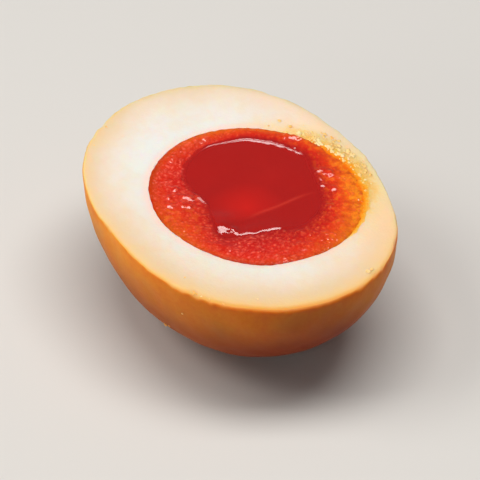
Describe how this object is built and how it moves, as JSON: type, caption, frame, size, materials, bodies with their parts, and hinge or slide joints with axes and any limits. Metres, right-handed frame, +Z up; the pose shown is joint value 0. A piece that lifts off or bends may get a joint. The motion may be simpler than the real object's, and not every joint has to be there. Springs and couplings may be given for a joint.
{
  "type": "marinated egg half",
  "caption": "Half of a soy-marinated soft-boiled egg, cut lengthwise, resting on its round back with the white, the set yolk ring and the runny middle facing up.",
  "frame": {"origin": "on the surface that the half rests on, under the middle of its outline", "axes": "+X along the egg's long axis towards its slightly narrower end, +Y across it towards the side that the yolk sits nearer to, +Z up, out of the cut face"},
  "size_m": [0.057, 0.043, 0.0213],
  "materials": {
    "egg_white": "moist firm egg white, cream where it is cut, soaked tan to deep orange brown by soy sauce towards and on the skin",
    "set_yolk": "set egg yolk, saturated orange red, finely granular with a wet sheen",
    "soft_yolk": "runny egg yolk, deep red orange, mirror smooth and wet"
  },
  "bodies": {
    "root": {"egg_white": "egg_white", "yolk_set_layer": "set_yolk", "yolk_soft_centre": "soft_yolk"}
  },
  "joints": []
}
